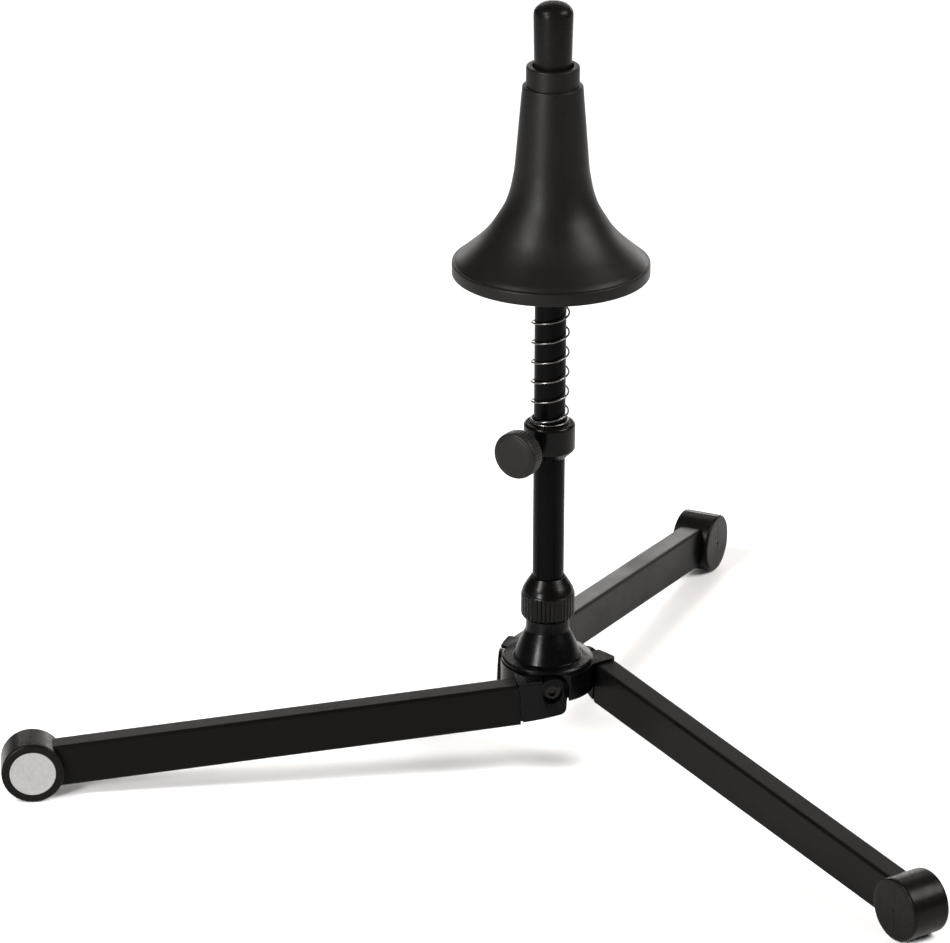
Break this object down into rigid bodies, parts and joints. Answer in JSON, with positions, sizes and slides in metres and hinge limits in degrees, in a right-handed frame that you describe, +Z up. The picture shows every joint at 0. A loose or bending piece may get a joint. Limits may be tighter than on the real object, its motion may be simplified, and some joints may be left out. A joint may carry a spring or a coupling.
{
  "type": "trumpet stand",
  "caption": "Folding tripod stand with a sprung bell cone on an upright post, a clamped stop collar, a collet lock nut and rubber-footed box-section legs.",
  "frame": {"origin": "point on the floor under the post axis, with the feet resting on the floor", "axes": "+Z up along the post; -X is the direction in which the first leg points; +Y is square to it"},
  "size_m": [0.4512, 0.4968, 0.4063],
  "materials": {
    "post_paint": "satin black powder coat",
    "leg_paint": "fine textured black powder coat",
    "hub_paint": "semi-gloss black paint over a fine-grained casting",
    "collar_paint": "gloss black",
    "nut_plastic": "gloss black moulding",
    "knob_plastic": "matte black moulding, lightly ribbed",
    "cone_plastic": "matte fine-grained black moulding",
    "nylon": "unfilled black nylon",
    "spring_steel": "blackened spring wire",
    "black_steel": "black-oxide screw",
    "insert_steel": "blackened, plain turned",
    "rubber": "matte moulded rubber",
    "disc_plastic": "plain light grey disc"
  },
  "bodies": {
    "base": {"hub": "hub_paint", "post_tube": "post_paint", "post_cap": "rubber", "collet": "nylon", "pivot_screw_1": "black_steel", "pivot_screw_2": "black_steel", "pivot_screw_3": "black_steel", "pivot_washer_1": "nylon", "pivot_washer_2": "nylon", "pivot_washer_3": "nylon"},
    "nut": {"lock_nut": "nut_plastic"},
    "collar": {"stop_collar": "collar_paint", "collar_insert": "insert_steel", "cone_spring": "spring_steel"},
    "cone": {"bell_cone": "cone_plastic", "cone_bush": "nylon", "spring_washer": "nylon"},
    "knob": {"clamp_knob": "knob_plastic", "clamp_screw": "black_steel", "clamp_pad": "nylon"},
    "leg_1": {"leg_tube_1": "leg_paint", "knuckle_1": "hub_paint", "foot_1": "rubber", "foot_disc_1": "disc_plastic"},
    "leg_2": {"leg_tube_2": "leg_paint", "knuckle_2": "hub_paint", "foot_2": "rubber", "foot_disc_2": "disc_plastic"},
    "leg_3": {"leg_tube_3": "leg_paint", "knuckle_3": "hub_paint", "foot_3": "rubber", "foot_disc_3": "disc_plastic"}
  },
  "joints": [
    {"name": "leg_1_fold", "type": "hinge", "parent": "base", "child": "leg_1", "pos_m": [0, -0.0238, 0.04637], "axis": [0, -1, 0], "range_deg": [0, 84]},
    {"name": "leg_2_fold", "type": "hinge", "parent": "base", "child": "leg_2", "pos_m": [0.02061, 0.0119, 0.04637], "axis": [0.866, 0.5, 0], "range_deg": [0, 84]},
    {"name": "leg_3_fold", "type": "hinge", "parent": "base", "child": "leg_3", "pos_m": [-0.02061, 0.0119, 0.04637], "axis": [-0.866, 0.5, 0], "range_deg": [0, 84]},
    {"name": "nut_turn", "type": "hinge", "parent": "base", "child": "nut", "pos_m": [0, 0, 0.09], "axis": [0, 0, 1], "range_deg": [0, 360]},
    {"name": "collar_slide", "type": "slide", "parent": "base", "child": "collar", "axis": [0, 0, 1], "range_m": [-0.06, 0]},
    {"name": "knob_turn", "type": "hinge", "parent": "collar", "child": "knob", "pos_m": [-0.01835, -0.02374, 0.1777], "axis": [-0.6115, -0.7912, 0], "range_deg": [0, 360]},
    {"name": "cone_slide", "type": "slide", "parent": "collar", "child": "cone", "axis": [0, 0, 1], "range_m": [-0.085, 0], "stiffness_N_per_m": 160, "springref_m": 0.012, "deforming": ["cone_spring"]}
  ]
}
